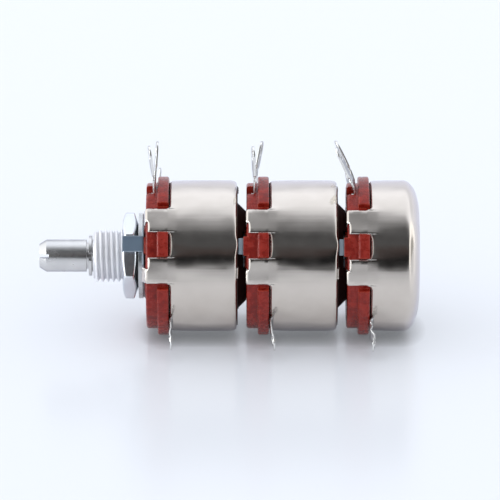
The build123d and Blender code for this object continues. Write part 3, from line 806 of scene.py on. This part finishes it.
def make_terminals(gang):
    before, after = TERMINAL_BEND
    for place, name in enumerate(TERMINAL_NAMES):
        reach = TERMINAL_REACH[place]
        swing = reach * tan(radians(TERMINAL_LEAN[gang - 1][place]))
        bow = TERMINAL_BOW[gang - 1][place]
        knots = [(TERMINAL_X, r) for r in (TERMINAL_ROOT_R, TERMINAL_MIDDLE_R, TERMINAL_BEND_R - before)]
        knots.append((TERMINAL_X + TERMINAL_BEND_SHARE * swing, TERMINAL_BEND_R + after))
        for share in TERMINAL_KNOT_SHARES:
            x = TERMINAL_X + swing * share + bow * (1 - abs(2 * share - 1))
            knots.append((x, TERMINAL_BEND_R + reach * share))
        angle = TERMINAL_SIDE + TERMINAL_SPREAD * (1 - place)
        make_lug(
            f"solder_lug_{gang}_{name}", gang, angle, knots, TERMINAL_HALF, NECK_R - TERMINAL_ROOT_R,
            TERMINAL_SHEET, "terminal_metal", (f"terminal_{gang}_{name}",), TERMINAL_TWIST[gang - 1][place],
        )


def make_ground_lug(gang):
    """The lug that is bent out of a can's rim. It is the can's own sheet, dressed in the brighter terminal
    finish as painted light.
    """
    knots = [(CAN_FRONT + x, CAN_R + r) for x, r in GROUND_ROOT] + GROUND_KNOTS[gang - 1]
    lug = make_lug(
        f"ground_lug_{gang}", gang, GROUND_ANGLE, knots, GROUND_HALF, None, GROUND_SHEET, "can_metal",
    )
    # Painted light: the brighter terminal finish makes the can's own sheet lighter than the can
    dress(lug, "terminal_metal")


def make_crimps(gang):
    """Tabs of the rear wall, bent over the insulating plate."""
    centre = (CAN_END + CRIMP_BEND[0], CRIMP_BEND[1])
    bend = arc(centre, CRIMP_BEND_R, CRIMP_BEND_R, *CRIMP_BEND_ARC)
    path = [(CAN_END + x, r) for x, r in CRIMP_ROOT] + bend + [(CAN_END + x, r) for x, r in CRIMP_TIP]
    for number in range(CRIMPS):
        angle = CRIMP_ANGLE + 360 / CRIMPS * number
        make_strip(f"crimp_{gang}_{number + 1}", gang, angle, path, CRIMP_HALF, CRIMP_SHEET, "can_metal")


def make_plate(gang):
    """A locating plate: a disc, and an arm whose end is bent forward as a tab. Only the first arm is wide."""
    hides = (f"locating_plate_{gang}",)
    # The disc is dressed in a darker copy of the plate's steel as painted shade, and the arm and the later
    # tabs in a lighter copy as painted light
    disc = make_turned(f"plate_disc_{gang}", gang, PLATE_DISC, "housing", "plate_steel", hides)
    dress(disc, "plate_painted_shade")
    length = TAB_LENGTHS[gang - 1]
    path = [(PLATE_MIDDLE, TAB_ROOT_R[gang - 1]), (PLATE_MIDDLE, TAB_STRAIGHT_R)]
    path += arc(TAB_BEND, TAB_BEND_R, TAB_BEND_R, *TAB_BEND_ARC)
    path += [(TAB_BEND_END, TAB_R), (-0.5 * length, TAB_R), (-length, TAB_R)]
    turn = TAB_TURN[gang - 1]
    tab = make_strip(f"plate_tab_{gang}", gang, turn, path, TAB_HALF, PLATE_SHEET, "plate_steel")
    if gang > 1:
        dress(tab, "plate_painted_light")
        return
    path = [(PLATE_MIDDLE, r) for r in ARM_ROWS]
    arm = make_strip("plate_arm_1", gang, 0.0, path, ARM_HALF, ARM_SHEET, "plate_steel")
    dress(arm, "plate_painted_light")


# Turned pieces

def ring_point(x, r, step):
    """A point round the bush's axis."""
    turn = 2 * pi * step / THREAD_STEPS
    return Vector((x, r * cos(turn), r * sin(turn)))


def bush_outside():
    """Points and faces of the thread: one ridge that climbs a pitch a turn, cut off at both ends."""
    turns = ceil(BUSH_REACH / THREAD_PITCH) + 2
    lines = [(turn + share, r) for turn in range(-1, turns) for share, r in THREAD_FORM]
    points, faces = [], []
    for line, r in lines:
        for step in range(THREAD_STEPS):
            x = -BUSH_REACH + (line - 1 + step / THREAD_STEPS) * THREAD_PITCH
            held = min(max(x, -BUSH_REACH), 0.0)
            if x <= -BUSH_REACH:
                radius = BUSH_TIP_R
            elif x < 0:
                radius = min(r, BUSH_TIP_R + (held + BUSH_REACH) * BUSH_TIP_SLOPE)
            else:
                radius = RIVET_R
            points.append(ring_point(held, radius, step))
    a_turn_on = len(THREAD_FORM)
    for line in range(len(lines) - 1):
        for step in range(THREAD_STEPS):
            a = line * THREAD_STEPS + step
            if step < THREAD_STEPS - 1:
                faces.append((a, a + 1, a + 1 + THREAD_STEPS, a + THREAD_STEPS))
            elif line + 1 + a_turn_on < len(lines):
                b = (line + a_turn_on) * THREAD_STEPS
                faces.append((a, b, b + THREAD_STEPS, a + THREAD_STEPS))
    return points, faces


def bush_inside(first):
    """Points and faces of the front face, the bore, the riveted head and the neck up to the thread."""
    length, wide = BORE_CHAMFER
    head = BUSH_REAR + RIVET_HEAD
    outline = [
        (-BUSH_REACH, BUSH_TIP_R), (-BUSH_REACH, wide), (-BUSH_REACH + length, BORE_R), (head, BORE_R),
        (head, RIVET_HEAD_R), (BUSH_REAR, RIVET_HEAD_R), (BUSH_REAR, RIVET_R), (0.0, RIVET_R),
    ]
    points = [ring_point(x, r, step) for x, r in outline for step in range(THREAD_STEPS)]
    faces = []
    for row in range(len(outline) - 1):
        start = first + row * THREAD_STEPS
        for step in range(THREAD_STEPS):
            a, b = start + step, start + (step + 1) % THREAD_STEPS
            faces.append((a, b, b + THREAD_STEPS, a + THREAD_STEPS))
    return points, faces


def make_bush():
    """The bush with its real thread."""
    points, faces = bush_outside()
    more_points, more_faces = bush_inside(len(points))
    points += more_points
    faces += more_faces
    bush = make_piece("threaded_bush", points, faces, "housing", "plated_brass", ("mounting_bush",))
    bush.data.set_sharp_from_angle(angle=radians(SHARP_ANGLE))
    dress(bush, "thread_zinc")


def make_nut():
    """The hexagon nut: both faces run out in shallow cones, which cut its corners low."""
    side_angle = 360 / NUT_SIDES
    front_r, rear_r = NUT_FACE_R
    bore = [(NUT_FRONT + NUT_BORE_EDGE, NUT_BORE_R), (NUT_FRONT, NUT_BORE_R + NUT_BORE_EDGE)]
    back = [(NUT_REAR, NUT_BORE_R + NUT_BORE_EDGE), (NUT_REAR - NUT_BORE_EDGE, NUT_BORE_R), bore[0]]
    columns = []
    for step in range(NUT_STEPS):
        turn = 360 * step / NUT_STEPS
        side = NUT_FLAT_R / cos(radians((turn + side_angle / 2) % side_angle - side_angle / 2))
        front = NUT_FRONT + (side - front_r) * NUT_SLOPE
        rear = NUT_REAR - (side - rear_r) * NUT_SLOPE
        outer = [(NUT_FRONT, front_r), (front, side), (rear, side), (NUT_REAR, rear_r)]
        columns.append([spot(1, x, r, NUT_TURN + turn) for x, r in bore + outer + back])
    points, faces = columns_to_faces(columns, True)
    nut = make_piece("panel_nut", points, faces, "nut", "plated_brass", ("nut",))
    round_edges(nut, NUT_EDGE)


# Floor, world and camera

def make_floor():
    mesh = bpy.data.meshes.new("floor")
    mesh.from_pydata([(x, y, FLOOR_Z) for x, y in FLOOR_CORNERS], [], [(0, 1, 2, 3)])
    floor = bpy.data.objects.new("floor", mesh)
    bpy.context.scene.collection.objects.link(floor)
    made, s, place, surface = material("floor_with_painted_shadow")
    # Painted contact shadow: the floor's colour darkens where ambient occlusion finds the object close
    open_sky = s.put("AmbientOcclusion", {"samples": CONTACT_SAMPLES}, Distance=CONTACT_REACH).outputs["AO"]
    s.plug(surface, "Base_Color", s.mix(open_sky, CONTACT_SHADOW_TONE, FLOOR_TONE))
    s.plug(surface, "Roughness", FLOOR_ROUGHNESS)
    s.plug(surface, "Specular_IOR_Level", FLOOR_SPECULAR)
    s.plug(surface, "Emission_Color", PALE)
    s.plug(surface, "Emission_Strength", FLOOR_GLOW)
    mesh.materials.append(made)


def make_world():
    """Bright above and behind, dark in front above the horizon, as under one big studio light."""
    world = bpy.data.worlds.new("studio")
    bpy.context.scene.world = world
    world.use_nodes = True
    s = Shader(world.node_tree)
    direction = s.put("TexCoord").outputs["Generated"]
    axes = s.put("SeparateXYZ", None, i0=direction)
    towards = s.math("MULTIPLY", axes.outputs["Y"], -1.0)
    turn = s.math("ARCTAN2", axes.outputs["Z"], towards)
    share = s.math("DIVIDE", turn, pi)
    arc_light = s.mix(1.0, s.ramp(share, STUDIO_ARC).outputs[0], STUDIO_TINT, "MULTIPLY")
    rightward = axes.outputs["X"]
    leftward = s.math("MULTIPLY", rightward, -1.0)
    sides = ((leftward, LEFT_SIDE), (leftward, LEFT_LAMP), (rightward, RIGHT_LAMP), (rightward, RIGHT_SIDE))
    for sideways, (start, full, light) in sides:
        side = s.put("MapRange", {"interpolation_type": "SMOOTHSTEP"}, i0=sideways, i1=start, i2=full)
        arc_light = s.mix(side, arc_light, light)
    path = s.put("LightPath")
    studio = s.put("Background", None, Color=arc_light, Strength=STUDIO_LEVEL)
    level = s.math("MULTIPLY_ADD", towards, FILL_LEVEL * FRONT_FILL, FILL_LEVEL)
    fill = s.put("Background", None, Color=WHITE, Strength=level)
    pale = s.put("Background", None, Color=PALE, Strength=1.0)
    light = s.put("MixShader", None, i0=path.outputs["Is Diffuse Ray"], i1=studio, i2=fill)
    choice = s.put("MixShader", None, i0=path.outputs["Is Camera Ray"], i1=light, i2=pale)
    s.put("OutputWorld", None, Surface=choice)


def make_camera():
    data = bpy.data.cameras.new("camera")
    camera = bpy.data.objects.new("camera", data)
    bpy.context.scene.collection.objects.link(camera)
    outward = Vector((0, -cos(CAMERA_RISE), sin(CAMERA_RISE)))
    upward = Vector((0, sin(CAMERA_RISE), cos(CAMERA_RISE)))
    target = Vector((FRAME_MIDDLE_X, 0, 0)) + upward * FRAME_MIDDLE_UP
    camera.location = target + outward * CAMERA_DISTANCE
    camera.rotation_euler = outward.to_track_quat("Z", "Y").to_euler()
    data.sensor_width = SENSOR
    data.lens = SENSOR * CAMERA_DISTANCE / FRAME_WIDTH
    data.clip_start = VIEW_START
    data.clip_end = VIEW_DEPTH
    bpy.context.scene.camera = camera


for name, node in frame["nodes"].items():
    dress(node, SLOT_OF[name])
for gang in range(1, GANGS + 1):
    make_can(gang)
    make_ground_lug(gang)
    make_terminals(gang)
    make_plate(gang)
    if gang < GANGS:
        make_crimps(gang)
make_bush()
make_nut()
dress(frame["nodes"]["washer"], "washer_zinc")
make_floor()
make_world()
make_camera()
bpy.context.scene.view_settings.view_transform = "Standard"
